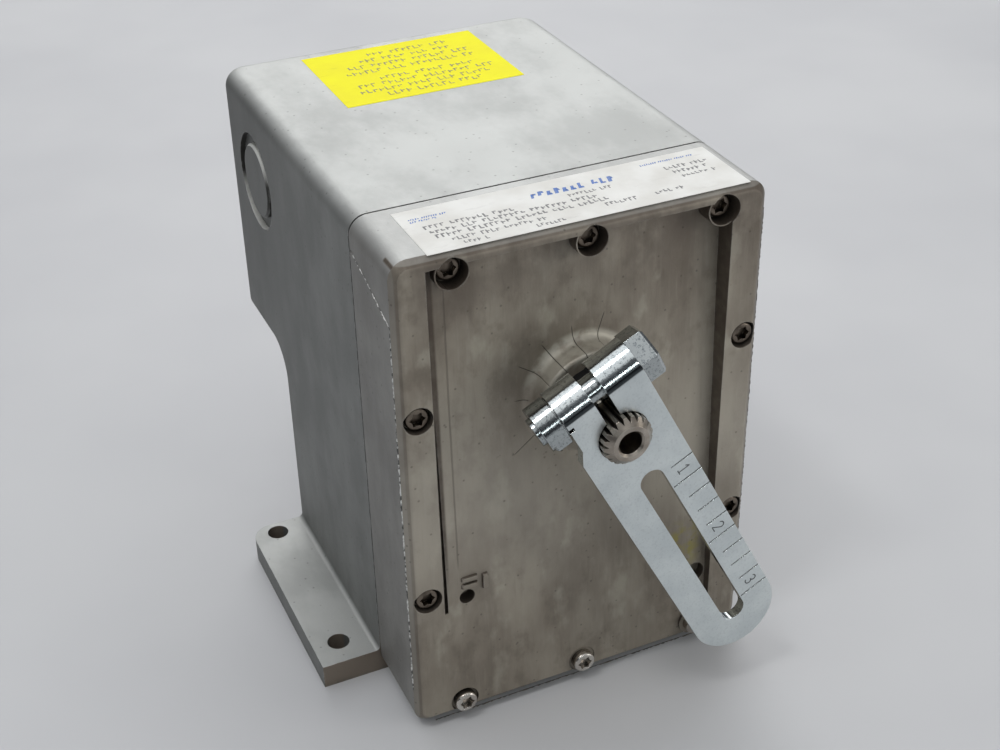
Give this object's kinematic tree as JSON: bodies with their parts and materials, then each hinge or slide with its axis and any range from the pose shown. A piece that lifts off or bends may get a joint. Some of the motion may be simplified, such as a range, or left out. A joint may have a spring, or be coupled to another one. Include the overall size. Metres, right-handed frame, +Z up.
{
  "type": "motorised actuator head",
  "caption": "Foot-mounted electric actuator head: cast housing with gear train and motor inside, and a slotted crank arm clamped on a serrated output shaft.",
  "frame": {"origin": "middle of the four foot holes, on the resting plane under the feet", "axes": "+X to the right when facing the crank arm, +Y towards the overhanging back, +Z up; the output shaft lies along Y"},
  "size_m": [0.1382, 0.165, 0.1481],
  "materials": {
    "front_casting": "aged as-cast, stained",
    "rear_casting": "matte as-cast",
    "gasket": "matte",
    "cover_screw": "dark oxide",
    "white_label": "printed film",
    "yellow_label": "printed film",
    "zinc_steel": "zinc plated",
    "steel": "turned",
    "gear_steel": "hobbed",
    "bronze": "sintered",
    "seal_rubber": "matte",
    "plate_steel": "zinc plated",
    "black_plastic": "moulded",
    "red_plastic": "moulded",
    "brass": "plated",
    "motor_shell": "die cast",
    "lamination": "stacked sheet",
    "copper": "enamelled wire",
    "rotor_metal": "turned",
    "block_plastic": "moulded",
    "can": "drawn",
    "green_screw": "plated green"
  },
  "bodies": {
    "housing": {"front_gear_case": "front_casting", "rear_housing": "rear_casting", "housing_gasket": "gasket", "top_cover_screws": "cover_screw", "side_cover_screws": "cover_screw", "bottom_cover_screws": "cover_screw", "left_knockout_plug": "rear_casting", "right_knockout_plug": "rear_casting", "rating_label": "white_label", "yellow_label": "yellow_label", "shaft_seal": "seal_rubber", "front_bearing": "bronze", "rear_bearing": "bronze", "second_spindle": "steel", "first_spindle": "steel", "gear_spacers": "plate_steel", "gear_plate": "plate_steel", "gear_plate_screws": "steel", "near_limit_switch": "black_plastic", "far_limit_switch": "black_plastic", "switch_screws": "steel", "switch_spacers": "plate_steel", "sensor_plate": "plate_steel", "sensor_standoffs": "plate_steel", "sensor_plate_screws": "steel", "feedback_potentiometer": "black_plastic", "potentiometer_nut": "brass", "motor_front_bell": "motor_shell", "motor_rear_bell": "motor_shell", "motor_stator": "lamination", "motor_winding": "copper", "motor_bearings": "bronze", "motor_screws": "steel", "terminal_block": "block_plastic", "terminal_screws": "brass", "ground_screw": "green_screw", "run_capacitor": "can", "capacitor_clip": "plate_steel", "clip_screw": "steel"},
    "output": {"output_shaft": "steel", "crank_arm": "zinc_steel", "clamp_bolt": "zinc_steel", "clamp_nut": "zinc_steel", "output_gear": "gear_steel", "retaining_ring": "steel", "near_limit_cam": "red_plastic", "far_limit_cam": "red_plastic", "shaft_coupling": "black_plastic", "potentiometer_shaft": "steel"},
    "second_gear": {"second_pinion": "gear_steel", "second_wheel": "gear_steel"},
    "first_gear": {"first_pinion": "gear_steel", "first_wheel": "gear_steel"},
    "rotor_set": {"motor_pinion": "gear_steel", "motor_shaft": "steel", "motor_rotor": "rotor_metal"},
    "near_button": {"near_switch_button": "red_plastic"},
    "far_button": {"far_switch_button": "red_plastic"}
  },
  "joints": [
    {"name": "output_turn", "type": "hinge", "parent": "housing", "child": "output", "pos_m": [0, -0.05, 0.098], "axis": [0, 1, 0], "range_deg": [-62.5, 27.5]},
    {"name": "second_gear_turn", "type": "hinge", "parent": "housing", "child": "second_gear", "pos_m": [-0.01279, -0.05, 0.05616], "axis": [0, 1, 0], "range_deg": [-120, 260]},
    {"name": "first_gear_turn", "type": "hinge", "parent": "housing", "child": "first_gear", "pos_m": [0.01681, -0.045, 0.04539], "axis": [0, 1, 0], "range_deg": [-1010, 450]},
    {"name": "motor_turn", "type": "hinge", "parent": "housing", "child": "rotor_set", "pos_m": [-0.00557, -0.02, 0.03542], "axis": [0, 1, 0], "range_deg": [-1770, 4010]},
    {"name": "near_button_press", "type": "slide", "parent": "housing", "child": "near_button", "axis": [1, 0, 0], "range_m": [0, 0.0008], "stiffness_N_per_m": 400},
    {"name": "far_button_press", "type": "slide", "parent": "housing", "child": "far_button", "axis": [1, 0, 0], "range_m": [0, 0.0008], "stiffness_N_per_m": 400}
  ],
  "couplings": [
    {"joint": "second_gear_turn", "follows": "output_turn", "ratio": -4},
    {"joint": "first_gear_turn", "follows": "output_turn", "ratio": 16},
    {"joint": "motor_turn", "follows": "output_turn", "ratio": -64}
  ]
}
